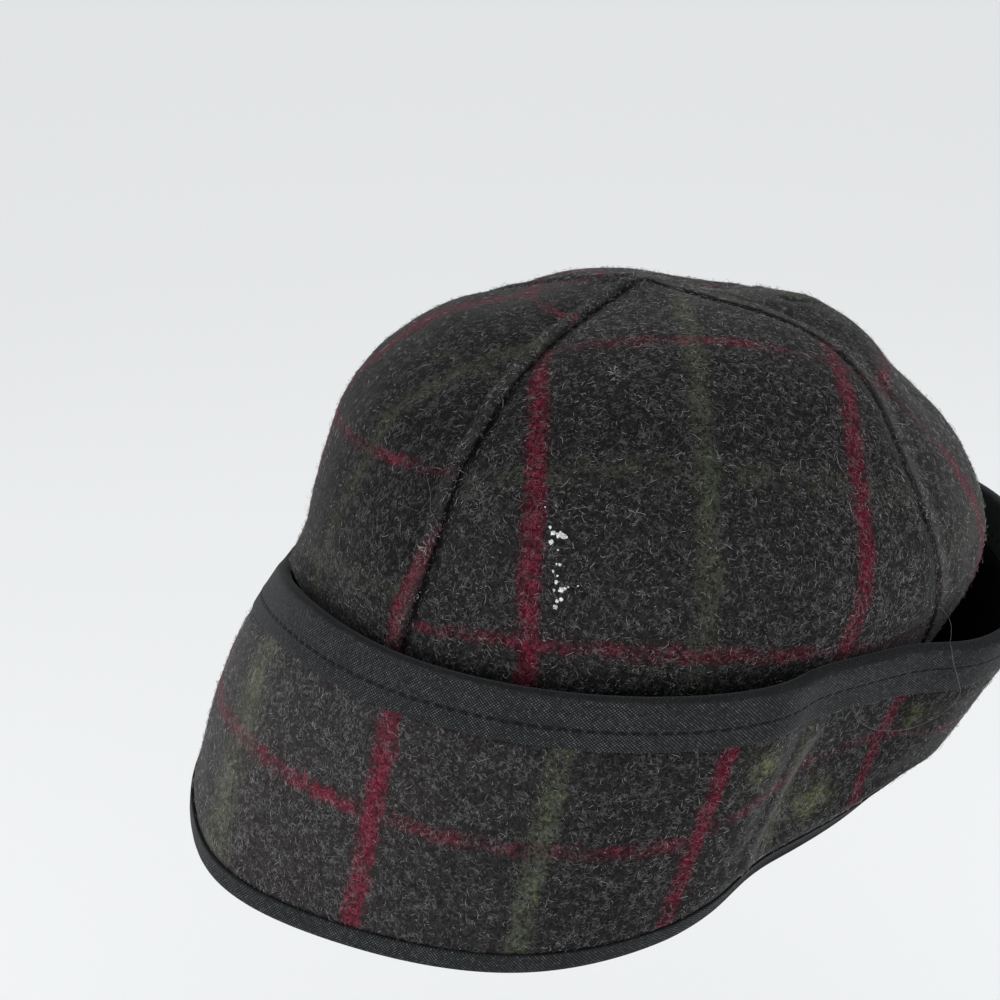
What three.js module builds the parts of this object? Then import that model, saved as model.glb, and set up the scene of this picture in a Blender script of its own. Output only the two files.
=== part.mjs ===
// Earflap cap: a soft crown of four plaid wool panels inside a loose wool earband with taped edges.
// Millimetres, +Z up. The origin is the middle of the head opening, in the plane of the crown's rim.
// The back of the cap faces -Y and the wearer's right is +X.
import * as THREE from 'three';

// Cloth and tape
const woolThickness = 2.2;
const liningThickness = 1.0;
const tapeThickness = 0.8;
const sewnGap = 0.3;
const topTapeWidth = 12.5;
const bottomTapeWidth = 4.5;

// A panel's edge sinks in along its seam, over this reach on either side.
const seamSink = 1.5;
const seamReach = 4.5;

// The crown from its rim to its peak: each section's middle and its reach from there to each side.
// The tuck is the share by which the cloth is drawn in at its back right.
const crownSections = [
  { height: 0, middleX: 0, left: 88, right: 84, back: 95, front: 101, tuck: 0.09 },
  { height: 18, middleX: 1, left: 91, right: 88.5, back: 97, front: 103, tuck: 0.1 },
  { height: 36, middleX: 3, left: 94.5, right: 97.5, back: 98, front: 104, tuck: 0.105 },
  { height: 54, middleX: 4, left: 94, right: 98.5, back: 97, front: 101, tuck: 0.055 },
  { height: 72, middleX: 5, left: 89, right: 90, back: 90, front: 93, tuck: 0.01 },
  { height: 89, middleX: 5, left: 82, right: 76, back: 76, front: 78, tuck: 0 },
  { height: 103, middleX: 4, left: 66, right: 63, back: 56, front: 56, tuck: 0 },
  { height: 113, middleX: 4, left: 44, right: 42, back: 33, front: 32, tuck: 0 },
  { height: 121, middleX: 3, left: 0, right: 0, back: 0, front: 0, tuck: 0 },
];
const tuckAngle = -48;
const tuckSpread = 42;
const tipPosition = 7.94;

// Soft folds and dents of the crown: where each lies, how far the cloth lifts, and how far it spreads.
const crownFolds = [
  { angle: 212, position: 5.3, lift: 1.6, angleSpread: 20, positionSpread: 0.35 },
  { angle: 214, position: 4.5, lift: -1.8, angleSpread: 18, positionSpread: 0.5 },
  { angle: 272, position: 6.2, lift: 1.4, angleSpread: 28, positionSpread: 0.4 },
  { angle: 246, position: 3.4, lift: -1.4, angleSpread: 9, positionSpread: 0.9 },
  { angle: 314, position: 4.6, lift: -1.5, angleSpread: 10, positionSpread: 0.8 },
  { angle: -12, position: 6.7, lift: -2, angleSpread: 9, positionSpread: 0.3 },
  { angle: 12, position: 5, lift: 0.7, angleSpread: 14, positionSpread: 0.4 },
  { angle: 130, position: 6.9, lift: 1.8, angleSpread: 40, positionSpread: 0.4 },
];

// Where the four seams run: the angle round the crown at the rim, at the shoulder and near the peak.
const seams = {
  backRight: { rim: -18, shoulder: -35, peak: -14 },
  frontRight: { rim: 50, shoulder: 48, peak: 45 },
  frontLeft: { rim: 130, shoulder: 133, peak: 140 },
  backLeft: { rim: 226, shoulder: 237, peak: 240 },
};

// The earband's taped top edge, section by section round the crown from its left side: angle, reach, height.
const bandTop = [
  { angle: -180, radius: 97, height: 33 },
  { angle: -165, radius: 97.5, height: 40.5 },
  { angle: -147, radius: 99, height: 46 },
  { angle: -121, radius: 101, height: 46 },
  { angle: -95, radius: 103.3, height: 46 },
  { angle: -76, radius: 104.4, height: 46 },
  { angle: -66, radius: 103, height: 46 },
  { angle: -57, radius: 98, height: 45 },
  { angle: -41, radius: 100, height: 43 },
  { angle: -29, radius: 111.5, height: 41 },
  { angle: -6, radius: 117.5, height: 42 },
  { angle: 20, radius: 115.5, height: 46 },
  { angle: 50, radius: 110, height: 43 },
  { angle: 90, radius: 109.5, height: 37 },
  { angle: 130, radius: 104, height: 31 },
  { angle: 160, radius: 99, height: 30 },
];

// The earband's bound bottom edge in the same sections, and how far the cloth between bellies out.
const bandFoot = [
  { angle: -176, radius: 123, height: -28, belly: 5 },
  { angle: -158, radius: 127, height: -26, belly: 5 },
  { angle: -142, radius: 129.5, height: -26, belly: 2.5 },
  { angle: -123, radius: 121.5, height: -26, belly: 1 },
  { angle: -102, radius: 112.5, height: -26, belly: 0.5 },
  { angle: -86, radius: 101, height: -24.5, belly: 1 },
  { angle: -75, radius: 96, height: -19, belly: 1.5 },
  { angle: -65, radius: 92, height: -13, belly: -2 },
  { angle: -48, radius: 90, height: -8.5, belly: -1 },
  { angle: -32, radius: 90.5, height: -5.5, belly: 1.5 },
  { angle: -8, radius: 94, height: -8, belly: 1.5 },
  { angle: 18, radius: 101, height: -13, belly: 0 },
  { angle: 50, radius: 107, height: -20, belly: 0 },
  { angle: 90, radius: 114, height: -27, belly: 1 },
  { angle: 132, radius: 118, height: -30, belly: 2 },
  { angle: 160, radius: 121, height: -30, belly: 3 },
];

// Mesh density
const panelColumns = [0, 0.015, 0.045, 0.11, 0.2, 0.3, 0.4, 0.5, 0.6, 0.7, 0.8, 0.89, 0.955, 0.985, 1];
const panelRows = 17;
const bandColumns = 64;
const bandRows = 8;
const liningRows = 5;
const gussetRows = 3;
const slopeStep = 0.02;

const radians = THREE.MathUtils.degToRad;

// Smooth value of one named column at a fractional row of a table, whose rows may close into a ring.
function blend(rows, column, position, closed = false, turn = 0) {
  const count = rows.length;
  const row = closed ? Math.floor(position) : Math.min(Math.floor(position), count - 2);
  const part = position - row;
  const value = (index) => {
    if (!closed) return rows[THREE.MathUtils.clamp(index, 0, count - 1)][column];
    const lap = Math.floor(index / count);
    return rows[index - lap * count][column] + lap * turn;
  };
  const [before, from, to, after] = [row - 1, row, row + 1, row + 2].map(value);
  const startSlope = (to - before) / 2;
  const endSlope = (after - from) / 2;
  const square = part * part;
  const cube = square * part;
  return from * (2 * cube - 3 * square + 1) + startSlope * (cube - 2 * square + part)
    + to * (3 * square - 2 * cube) + endSlope * (cube - square);
}

// Outer normal of a surface given as a function of two positions.
function normalAt(surface, across, along) {
  const sideways = surface(across + slopeStep, along).sub(surface(across - slopeStep, along));
  const upward = surface(across, along + slopeStep).sub(surface(across, along - slopeStep));
  return sideways.cross(upward).normalize();
}

// A closed mesh from a loop of section points repeated along a path, with its ends capped or joined.
function sweptSolid(sectionsOfPoints, joined) {
  const count = sectionsOfPoints[0].length;
  const positions = sectionsOfPoints.flat().flatMap((point) => point.toArray());
  const triangles = [];
  const spans = joined ? sectionsOfPoints.length : sectionsOfPoints.length - 1;
  for (let span = 0; span < spans; span += 1) {
    const next = (span + 1) % sectionsOfPoints.length;
    for (let side = 0; side < count; side += 1) {
      const other = (side + 1) % count;
      const [a, b] = [span * count + side, span * count + other];
      const [c, d] = [next * count + side, next * count + other];
      triangles.push(a, c, d, a, d, b);
    }
  }
  if (!joined) {
    const last = (sectionsOfPoints.length - 1) * count;
    for (let side = 0; side < count / 2 - 1; side += 1) {
      const mirror = count - 1 - side;
      triangles.push(side, side + 1, mirror - 1, side, mirror - 1, mirror);
      triangles.push(last + side, last + mirror - 1, last + side + 1);
      triangles.push(last + side, last + mirror, last + mirror - 1);
    }
  }
  const geometry = new THREE.BufferGeometry();
  geometry.setAttribute('position', new THREE.Float32BufferAttribute(positions, 3));
  geometry.setIndex(triangles);
  geometry.computeVertexNormals();
  return geometry;
}

// Turn from one angle to another in degrees, the short way round.
const turnBetween = (from, to) => THREE.MathUtils.euclideanModulo(to - from + 180, 360) - 180;

const bell = (distance, spread) => Math.exp(-((distance / spread) ** 2));

// How far the folds lift the crown's cloth at a place.
function foldLift(angle, position) {
  return crownFolds.reduce((total, fold) => total
    + fold.lift * bell(turnBetween(fold.angle, angle), fold.angleSpread)
    * bell(position - fold.position, fold.positionSpread), 0);
}

// A point of the crown's outer face: angle in degrees round the section, position in rows up the table.
function crownPoint(angle, position) {
  const size = (column) => blend(crownSections, column, position);
  const across = Math.cos(radians(angle));
  const deep = Math.sin(radians(angle));
  const tuck = 1 - size('tuck') * bell(turnBetween(tuckAngle, angle), tuckSpread);
  const lift = foldLift(angle, position);
  return new THREE.Vector3(
    size('middleX') + tuck * across * size(across > 0 ? 'right' : 'left') + lift * across,
    tuck * deep * size(deep > 0 ? 'front' : 'back') + lift * deep,
    size('height') + lift,
  );
}

function seamAngle(seam, position) {
  const rows = [{ angle: seam.rim }, { angle: seam.shoulder }, { angle: seam.peak }];
  return blend(rows, 'angle', 2 * position / (crownSections.length - 1));
}

// One crown panel between two seams, whose edges turn in where they are sewn.
function crownPanel(firstSeam, secondSeam) {
  const sections = panelColumns.map((share) => {
    const outer = [];
    const inner = [];
    for (let row = 0; row < panelRows; row += 1) {
      const position = tipPosition * row / (panelRows - 1);
      const [start, end] = [seamAngle(firstSeam, position), seamAngle(secondSeam, position)];
      const seamPoints = [crownPoint(start, position), crownPoint(end, position)];
      const width = seamPoints[0].distanceTo(seamPoints[1]);
      const halfGap = (end - start) * sewnGap / 2 / width;
      const angle = THREE.MathUtils.lerp(start + halfGap, end - halfGap, share);
      const outside = crownPoint(angle, position);
      const normal = normalAt(crownPoint, angle, position);
      const toSeam = Math.min(...seamPoints.map((point) => point.distanceTo(outside)));
      const sink = seamSink * bell(toSeam, seamReach);
      outer.push(outside.clone().addScaledVector(normal, -sink));
      inner.push(outside.clone().addScaledVector(normal, -sink - woolThickness));
    }
    return [...outer, ...inner.reverse()];
  });
  return sweptSolid(sections, false);
}

// A point on one edge of the earband: its place round the band is counted in table rows.
function bandEdge(edge, round) {
  const angle = radians(blend(edge, 'angle', round, true, 360));
  const radius = blend(edge, 'radius', round, true);
  const height = blend(edge, 'height', round, true);
  return new THREE.Vector3(radius * Math.cos(angle), radius * Math.sin(angle), height);
}

// A point on the earband's outer face: the place round the band, and the share down from its top edge.
function bandFace(round, down) {
  const top = bandEdge(bandTop, round);
  const foot = bandEdge(bandFoot, round);
  const outward = new THREE.Vector3(top.x + foot.x, top.y + foot.y, 0).normalize();
  const belly = blend(bandFoot, 'belly', round, true) * 4 * down * (1 - down);
  return top.lerp(foot, down).addScaledVector(outward, belly);
}

const bandDepth = (round) => bandFace(round, 0).distanceTo(bandFace(round, 1));

// A point set off from the earband's face: millimetres below its top edge and out from its face.
function bandPoint(round, below, out) {
  const depth = bandDepth(round);
  const down = THREE.MathUtils.clamp(below / depth, 0, 1);
  const point = bandFace(round, down);
  const above = bandFace(round, Math.max(down - slopeStep, 0));
  const slope = bandFace(round, Math.min(down + slopeStep, 1)).sub(above);
  const past = below - down * depth;
  const normal = normalAt((across, along) => bandFace(across, -along), round, -down);
  return point.addScaledVector(slope.normalize(), past).addScaledVector(normal, out);
}

// A ring of cloth or tape on the earband: its section lists how far below the top edge and out.
function bandRing(sectionAt) {
  const sections = [];
  for (let column = 0; column < bandColumns; column += 1) {
    const round = bandTop.length * column / bandColumns;
    sections.push(sectionAt(round).map(([below, out]) => bandPoint(round, below, out)).reverse());
  }
  return sweptSolid(sections, true);
}

// Section of a sheet between two depths, from its outer face down to its inner face.
function sheetSection(from, to, outerFace, thickness, rows) {
  const outer = [];
  const inner = [];
  for (let row = 0; row < rows; row += 1) {
    const below = THREE.MathUtils.lerp(from, to, row / (rows - 1));
    outer.push([below, outerFace]);
    inner.push([below, outerFace - thickness]);
  }
  return [...outer, ...inner.reverse()];
}

const innerFace = -woolThickness - sewnGap;

const earbandSection = (round) => sheetSection(0, bandDepth(round), 0, woolThickness, bandRows);

const liningSection = (round) => sheetSection(
  topTapeWidth + sewnGap,
  bandDepth(round) - bottomTapeWidth - sewnGap,
  innerFace,
  liningThickness,
  liningRows,
);

// Section of a tape folded over an edge: direction is 1 below the top edge and -1 above the bottom edge.
function tapeSection(edge, direction, width) {
  const outside = sewnGap + tapeThickness;
  const inside = innerFace - tapeThickness;
  const crest = (outside + inside) / 2;
  const legs = [
    [width, outside],
    [width / 2, outside],
    [-sewnGap, outside],
    [-sewnGap - tapeThickness, crest + (outside - crest) / 2],
    [-sewnGap - tapeThickness, crest - (outside - crest) / 2],
    [-sewnGap, inside],
    [width / 2, inside],
    [width, inside],
    [width, innerFace],
    [-sewnGap, innerFace],
    [-sewnGap, sewnGap],
    [width, sewnGap],
  ];
  const section = legs.map(([below, out]) => [edge + direction * below, out]);
  return direction > 0 ? section.reverse() : section;
}

const topTapeSection = () => tapeSection(0, 1, topTapeWidth);

const bottomTapeSection = (round) => tapeSection(bandDepth(round), -1, bottomTapeWidth);

// The plain strip from under the crown's rim to the inside of the bottom binding.
function gusset() {
  const sections = [];
  for (let column = 0; column < bandColumns; column += 1) {
    const round = bandTop.length * column / bandColumns;
    const out = innerFace - tapeThickness - sewnGap;
    const seat = bandDepth(round) - bottomTapeWidth / 2;
    const foot = bandPoint(round, seat, out);
    const footBelow = bandPoint(round, seat + liningThickness, out);
    const rim = crownPoint(THREE.MathUtils.radToDeg(Math.atan2(foot.y, foot.x)), 0);
    rim.addScaledVector(new THREE.Vector3(rim.x, rim.y, 0).normalize(), -woolThickness);
    rim.z = -sewnGap;
    const rimBelow = rim.clone().setZ(rim.z - liningThickness);
    const upper = [];
    const lower = [];
    for (let row = 0; row < gussetRows; row += 1) {
      upper.push(rim.clone().lerp(foot, row / (gussetRows - 1)));
      lower.push(rimBelow.clone().lerp(footBelow, row / (gussetRows - 1)));
    }
    sections.push([...lower, ...upper.reverse()]);
  }
  return sweptSolid(sections, true);
}

// Looks
const plaidWool = { color: 0x2b2a2b, roughness: 0.95, metalness: 0 };
const blackCloth = { color: 0x101012, roughness: 0.9, metalness: 0 };
const blackTape = { color: 0x1c1d1e, roughness: 0.8, metalness: 0 };

const group = new THREE.Group();

function addPiece(name, geometry, look) {
  const piece = new THREE.Mesh(geometry, new THREE.MeshStandardMaterial(look));
  piece.name = name;
  group.add(piece);
}

const fullTurnOn = (seam) => ({ rim: seam.rim + 360, shoulder: seam.shoulder + 360, peak: seam.peak + 360 });

addPiece('crown_panel_right', crownPanel(seams.backRight, seams.frontRight), plaidWool);
addPiece('crown_panel_front', crownPanel(seams.frontRight, seams.frontLeft), plaidWool);
addPiece('crown_panel_left', crownPanel(seams.frontLeft, seams.backLeft), plaidWool);
addPiece('crown_panel_back', crownPanel(seams.backLeft, fullTurnOn(seams.backRight)), plaidWool);
addPiece('earband', bandRing(earbandSection), plaidWool);
addPiece('earband_lining', bandRing(liningSection), blackCloth);
addPiece('top_binding', bandRing(topTapeSection), blackTape);
addPiece('bottom_binding', bandRing(bottomTapeSection), blackTape);
addPiece('earband_gusset', gusset(), blackCloth);

export default group;
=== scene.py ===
import math

import bmesh
import bpy
import numpy as np
from mathutils import Matrix, Vector
from mathutils.bvhtree import BVHTree


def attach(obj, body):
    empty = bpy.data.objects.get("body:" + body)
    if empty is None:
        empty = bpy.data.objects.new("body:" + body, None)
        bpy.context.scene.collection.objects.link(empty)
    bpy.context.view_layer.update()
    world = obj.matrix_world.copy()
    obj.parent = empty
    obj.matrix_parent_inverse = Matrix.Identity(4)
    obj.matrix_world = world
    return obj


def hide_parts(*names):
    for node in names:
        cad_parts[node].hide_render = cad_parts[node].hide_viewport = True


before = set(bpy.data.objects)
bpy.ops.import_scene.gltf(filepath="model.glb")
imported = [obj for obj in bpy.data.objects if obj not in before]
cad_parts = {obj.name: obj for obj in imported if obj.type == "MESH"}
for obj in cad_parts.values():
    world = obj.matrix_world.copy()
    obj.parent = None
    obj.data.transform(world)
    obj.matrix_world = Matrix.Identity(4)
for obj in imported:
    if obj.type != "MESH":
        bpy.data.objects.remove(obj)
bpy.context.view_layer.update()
scene = bpy.context.scene

MM = 0.001

# Camera, behind the cap and a little above it
CAMERA_PLACE = (5.0 * MM, -474.06 * MM, 249.23 * MM)
CAMERA_TILT = math.radians(67.627)
CAMERA_TURN = math.radians(4.832)
CAMERA_LENS = 64.8
CAMERA_SENSOR = 36.0

# Studio
FLOOR_HEIGHT = -0.30
FLOOR_HALF = 6.0
FLOOR_COLOUR = (0.80, 0.81, 0.81)
FLOOR_ROUGHNESS = 0.9
FLOOR_SHINE = 0.1
SKY_COLOUR = (0.98, 0.99, 1.0, 1.0)
SKY_STRENGTH = 0.96
# Each soft light: place, aim, width, height and watts
LIGHTS = {
    "right_softbox": ((1.10, 0.15, 0.45), (0.0, 0.0, 0.03), 0.8, 0.8, 3.2),
    "left_softbox": ((-1.10, -0.35, 0.05), (0.0, 0.0, 0.0), 0.8, 0.8, 5.0),
    "front_softbox": ((0.15, -1.30, -0.10), (0.0, 0.0, 0.0), 0.8, 0.36, 5.4),
}


def named_rows(columns, rows):
    """A table as a set of named numbers for each row."""
    return {name: dict(zip(columns.split(), row)) for name, row in rows.items()}


# The crown is wrapped round this point, and cloth is measured along a ball of this size.
CROWN_HEART = np.array((4.0, 0.0, 30.0)) * MM
CROWN_BALL = 92.0 * MM

# How each crown panel is cut from the plaid: the way it faces, how much its rows bow round the ball, the
# tilt of its grain, where one red line lies across and along, with the distance to the next, and how much
# broader the cloth is about its lines near the top
PANELS = named_rows("faces bow tilt red_across repeat_across red_along repeat_along broad", {
    "back": (-78.0, 1.0, 0.095, -39.0, 80.0, 22.0, 86.5, 0.0),
    "left": (-178.0, 0.0, -0.12, 3.0, 70.4, 49.5, 63.0, 0.7),
    "front": (90.0, 0.4, 0.0, -39.0, 79.0, 30.0, 86.0, 0.0),
    "right": (8.0, 0.3, 0.0, -33.0, 79.0, 75.5, 86.0, 0.0),
})
# Height along the ball that a tilted grain turns about, in millimetres
GRAIN_PIVOT = 60.0
# Where stretched cloth broadens a line: between these heights, and up to this part of a repeat from it
BROAD_HEIGHTS = (86 * MM, 98 * MM)
BROAD_REACH = 0.15
# Where the crown has sunk in or puffed out: place, reach and rise in millimetres
DENTS = np.array((
    (79.0, 8.0, 92.0, 12.0, -3.8), (20.0, 20.0, 117.0, 12.0, -2.8),
    (-34.0, 20.0, 110.0, 14.0, -2.4), (50.0, 24.0, 108.0, 9.0, 1.2),
)) * MM
# Dents run longer from back to front
DENT_SQUASH = (1.0, 0.6, 1.0)
# How far round the two near seams are drawn, by height: the angle as cut and the turn, in degrees
DRAWN_SEAMS = (
    np.array(((26.0, -127.5, 0.0), (35.7, -126.1, -0.33), (44.5, -124.3, -0.67), (53.0, -122.5, -1.0),
              (62.0, -121.0, -1.65), (70.0, -119.8, -2.15), (78.0, -119.7, -2.3), (87.4, -120.3, -1.9),
              (95.0, -120.9, -0.4), (101.0, -121.6, 0.0))),
    np.array(((27.5, -25.3, 0.0), (36.2, -27.0, 0.8), (45.2, -29.2, 1.0), (53.7, -31.3, 1.0),
              (62.3, -32.8, 1.0), (70.6, -33.3, 1.1), (78.9, -32.4, 1.2), (87.2, -30.3, 1.7),
              (94.7, -26.6, 2.2), (101.2, -22.1, 2.4), (106.3, -18.0, 2.6), (112.0, -13.5, 1.5),
              (116.0, -11.4, 0.0))),
)
SEAM_DRAW_REACH = 11 * MM
# How far the crown puffs out over the tape on the left, by height above the tape's edge in millimetres
PUFF = np.array(((-14.0, 0.0), (-6.0, 1.0), (-0.5, 3.0), (2.5, 3.8), (5.5, 2.7), (9.0, 1.2), (14.0, 0.0)))
# Angles, in degrees, where the puff starts, is full, starts to go and is gone
PUFF_SIDE = (165, 180, 197, 222)
# Each panel's smoothing levels, lift at the seams in millimetres, where the side panels lap over the others,
# strength of the red rows, green lost low down, rub with painted highlight and fuzz at the seams, and number
# of fibres
PANEL_LOOKS = named_rows("levels lift strong dull rubbed fuzzy hairs", {
    "back": (2, -0.3, 0.35, 0.55, 0.2, 6.0, 12000),
    "left": (2, 1.5, 1.0, 0.2, 0.2, 6.0, 8000),
    "front": (2, -0.3, 0.35, 0.2, 0.2, 6.0, 6500),
    "right": (3, 0.8, 0.35, 0.2, 0.6, 2.5, 6500),
})
# Heights between which the lost green comes back, and between which the right panel's red line fades
DULL_HEIGHTS = (58 * MM, 84 * MM)
RIGHT_FADE = (76 * MM, 86 * MM)
# How strong the painted shade in the groove beside each seam is, and how wide in millimetres, on the panel
# that lies under
GROOVES = {("back", "left"): (1.0, 5.6), ("back", "right"): (0.6, 7.0), ("front", "left"): (0.8, 3.0),
           ("front", "right"): (0.6, 3.0)}
GROOVE_FROM = 0.4 * MM
# Where the left panel's red line fades out, near the top, and how far round that place
LEFT_FADE = np.array((-5.0, 6.0, 118.0)) * MM
LEFT_FADE_REACH = (12 * MM, 26 * MM)
# A slit where the right panel is tucked in near the top, sunk in and darkened with painted shade
TUCK_FROM = np.array((41.0, 4.5, 113.8)) * MM
TUCK_TO = np.array((55.5, 16.0, 108.0)) * MM
TUCK_WIDTH, TUCK_DEPTH = 1.7 * MM, 2.6 * MM
# Distances from a seam: the cut edge, where a lapped panel turning in gets painted shade, the welt that
# stands up beside it, and the ridge that is drawn rubbed and with a painted highlight
SEAM_EDGE = (0.1 * MM, 1.3 * MM)
WELT = (-0.7 * MM, 1.2 * MM, 1.6 * MM, 5.0 * MM)
SEAM_RIDGE = (1.2 * MM, 3.4 * MM)
# Slow waves in the cloth: height and size in millimetres, and the seed
CROWN_WAVES = ((0.45, 42, 5), (0.16, 15, 6))
BAND_WAVES = ((0.5, 38, 8), (0.15, 14, 9))
EDGE_WAVE = 8 * MM
# Heights below which the crown, behind the earband, lies smooth and carries no nap
SMOOTH_BEHIND = (18 * MM, 34 * MM)
BARE_BEHIND = 24 * MM
# How much a face looks outward, from none to all, on the crown and on the earband
CROWN_OUTER, BAND_OUTER = (-0.2, 0.7), (0.1, 0.5)
# The shade on the crown behind the tape: its strength, and where it ends against the tape's edge
TAPE_SHADE = 0.92
TAPE_SHADE_END = (-4.5 * MM, 1.0 * MM)

# How much paler or darker the wool is drawn, partly for wear and partly as painted light and shade, by height
# on each panel in millimetres
PANEL_WEAR_AND_PAINTED_LIGHT = {
    "back": ((40.0, 0.0), (68.0, 0.08), (85.0, 0.0), (99.0, -0.13), (109.0, -0.05), (117.0, 0.30)),
    "left": ((40.0, 0.0), (54.0, -0.02), (72.0, -0.28), (110.0, -0.26), (119.0, -0.05)),
    "front": ((40.0, 0.0), (119.0, 0.0)),
    "right": ((40.0, 0.2), (64.0, 0.2), (88.0, 0.12), (119.0, 0.05)),
}

# The earband, section by section from its left side: the angles and heights of its two edges in degrees
# and millimetres, and the length of cloth round to there.
BAND_CUT = np.array((
    (-180, -176, 33.0, -28.0, 0.0),
    (-165, -158, 40.5, -26.0, 34.3),
    (-147, -142, 46.0, -26.0, 68.9),
    (-121, -123, 46.0, -26.0, 113.3),
    (-95, -102, 46.0, -26.0, 158.6),
    (-76, -86, 46.0, -24.5, 191.7),
    (-66, -75, 46.0, -19.0, 211.0),
    (-57, -65, 45.0, -13.0, 229.1),
    (-41, -48, 43.0, -8.5, 256.0),
    (-29, -32, 41.0, -5.5, 281.5),
    (-6, -8, 42.0, -8.0, 324.9),
    (20, 18, 46.0, -13.0, 373.8),
    (50, 50, 43.0, -20.0, 432.5),
    (90, 90, 37.0, -27.0, 510.2),
    (130, 132, 31.0, -30.0, 591.3),
    (160, 160, 30.0, -30.0, 648.4),
))
BAND_ROUND = 692.7
BAND_DEPTH = 72.0
BAND_STEPS = 24
# Length of cloth round the band against the plaid's repeats there
BAND_PLAID = np.array(((-30.0, -1.70), (52.0, -0.556), (72.0, -0.444), (114.5, 0.0), (159.0, 0.5),
                       (198.5, 1.0), (256.0, 2.0), (744.7, 8.444), (764.7, 8.556), (807.2, 9.0)))
BAND_REPEATS = 9.0
BAND_REPEAT_DOWN = 86.0
# Share down the band of its red line, against the length of cloth round to there
BAND_RED_LINE = np.array(((0.0, 0.5), (60.0, 0.5), (114.0, 0.53), (196.0, 0.56), (212.0, 0.48), (256.0, 0.46),
                          (281.0, 0.58), (400.0, 0.52), (692.7, 0.5)))
# How much paler or darker the band is drawn, partly for wear and partly as painted light and shade, against
# the length of cloth round to there
BAND_WEAR_AND_PAINTED_LIGHT = np.array(((0.0, 0.5), (62.0, 0.55), (97.0, 0.42), (136.0, 0.2), (181.0, -0.03), (219.0, 0.13),
                      (240.0, 0.0), (260.0, -0.35), (285.0, -0.2), (340.0, 0.0), (520.0, 0.1), (692.7, 0.5)))
# Where the wool swells beside its tapes: rise in millimetres and shares down; and where it is clear of them
BAND_SWELLS = ((0.75, (0.165, 0.2, 0.22, 0.5)), (0.5, (0.8, 0.9, 0.92, 0.94)))
BAND_CLEAR = (0.17, 0.26, 0.86, 0.93)
# Shares down where the painted shade above the bottom tape starts, and lengths round where the red rows lose
# their strength
BAND_PAINTED_SHADE, BAND_STRONG = (0.925, 0.942), (90, 135)
# How far the earband's bottom edge turns in on the right, by the length of cloth round and the share down
TURN_UNDER = 4.0 * MM
TURN_UNDER_ROUND = (200, 235, 330, 380)
TURN_UNDER_DOWN = (0.84, 1.0)
# Shares down the band of the top tape's lower edge and the bottom tape's upper edge
TAPE_ENDS, TAPE_STARTS = 0.168, 0.94
# The earband's fold on the right, along its crest, and the olive patches beside it: place and size
FOLD_CREST = np.array((
    (48.8, -80.8, 28.2), (46.1, -81.9, 23.1), (43.2, -83.5, 17.7), (40.5, -85.1, 11.9),
    (38.3, -86.3, 6.2), (36.1, -87.4, 0.1), (34.7, -87.5, -5.9), (33.5, -87.4, -11.3),
)) * MM
FOLD_RISE = 1.5
# The fold's width, and the width of the painted highlight along its crest
FOLD_WIDTH, FOLD_HIGHLIGHT_WIDTH = 2.4 * MM, 1.9 * MM
OLIVE_PATCHES = np.array(((36.8, -95.0, 25.6, 4.5), (50.2, -76.1, 5.4, 5.5), (78.1, -60.7, 22.6, 4.5))) * MM

# Stitching along the top tape
STITCHES = 204
STITCH_DOWN = 7.0
STITCH_PITCH = BAND_ROUND / STITCHES
STITCH_LENGTH = 2.3
STITCH_WIDE, STITCH_HIGH = 0.20, 0.15

# Paint flecks on the back panel: place and radius in millimetres
FLECKS = np.array((
    (-16.3, -81.2, 80.4, 0.38), (-15.5, -82.1, 79.3, 0.62), (-14.0, -82.5, 79.0, 0.88),
    (-13.1, -82.8, 78.9, 0.75), (-12.4, -83.0, 78.7, 0.38), (-15.9, -83.2, 77.4, 0.62),
    (-14.1, -84.4, 75.9, 0.25), (-14.3, -86.2, 73.1, 0.30), (-13.5, -86.4, 73.0, 0.42),
    (-15.1, -87.0, 71.6, 0.42), (-14.1, -87.7, 70.7, 0.30), (-14.3, -88.2, 69.3, 0.50),
    (-14.7, -88.8, 67.5, 0.38), (-13.1, -89.1, 67.7, 0.75), (-12.1, -89.2, 68.1, 0.50),
    (-11.4, -89.2, 68.6, 0.25), (-9.1, -89.5, 69.1, 0.25), (-13.9, -90.0, 65.2, 0.50),
    (-13.0, -90.0, 65.8, 0.50), (-14.4, -90.5, 63.9, 0.62), (-17.7, -77.4, 83.9, 0.20),
    (-17.1, -79.1, 82.3, 0.16),
)) * MM
# Tufts of lint by the panel that they cling to
LINT = {
    "back": ((-2.4, -47.8, 108.2),),
    "left": ((-45.6, -71.4, 73.0), (-49.1, -76.4, 57.6), (-46.9, -72.5, 70.2)),
    "right": ((67.6, -20.3, 99.2), (76.5, -47.9, 73.6), (81.8, -48.9, 55.4)),
}
LINT_STRANDS = 14
LINT_SPREAD, LINT_THICK = 0.45 * MM, 0.12 * MM
# Two long loose hairs
SIDE_HAIR = np.array((
    (-47.9, -60.8, 84.6), (-47.0, -63.6, 82.6), (-46.3, -66.2, 80.2), (-45.2, -68.8, 77.2),
    (-44.3, -71.0, 74.2),
)) * MM
BAND_HAIR = np.array((
    (81.2, -47.9, 49.3), (84.4, -55.0, 46.5), (83.5, -62.8, 42.6), (86.5, -60.4, 33.0),
    (87.3, -57.6, 28.6), (85.6, -57.1, 23.9), (81.1, -58.8, 20.8), (74.4, -61.8, 19.6),
    (67.5, -66.1, 21.3), (62.2, -70.5, 25.3), (59.4, -73.5, 29.7), (57.9, -77.3, 35.1),
)) * MM
HAIR_THICK = 0.11 * MM


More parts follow.
